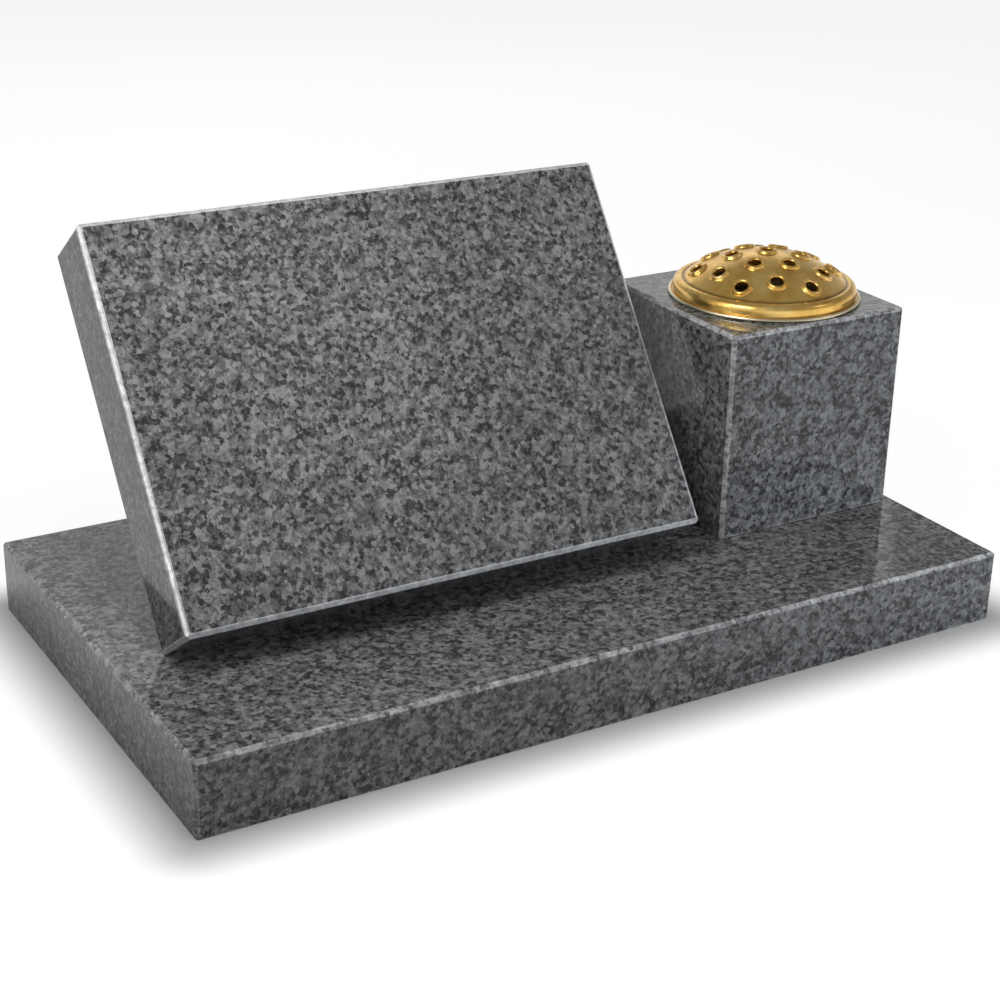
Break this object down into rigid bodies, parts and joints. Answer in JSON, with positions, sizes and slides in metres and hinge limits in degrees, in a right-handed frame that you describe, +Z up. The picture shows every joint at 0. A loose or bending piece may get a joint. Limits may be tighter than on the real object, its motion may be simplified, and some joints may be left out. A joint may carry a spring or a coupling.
{
  "type": "granite desk memorial with a leaning tablet and a flower vase",
  "caption": "Polished grey granite memorial: base slab, tablet leaning on a wedge, and a square vase block with a lift-out pot under a domed gold lid with holes for flower stems.",
  "frame": {"origin": "middle of the base slab's underside", "axes": "+X to the right as seen from the front, +Y to the back, +Z up"},
  "size_m": [0.61, 0.344, 0.2995],
  "materials": {
    "granite": "polished, speckled",
    "granite_honed": "honed, speckled",
    "pot_metal": "spun, satin, pale gold anodised",
    "lid_gold": "polished gold anodised"
  },
  "bodies": {
    "stones": {"base_slab": "granite", "tablet": "granite", "wedge_rest": "granite_honed", "vase_block": "granite"},
    "pot": {"flower_pot": "pot_metal"},
    "lid": {"flower_lid": "lid_gold"}
  },
  "joints": [
    {"name": "pot_lift", "type": "slide", "parent": "stones", "child": "pot", "axis": [0, 0, 1], "range_m": [0, 0.15]},
    {"name": "lid_lift", "type": "slide", "parent": "pot", "child": "lid", "axis": [0, 0, 1], "range_m": [0, 0.1]}
  ]
}
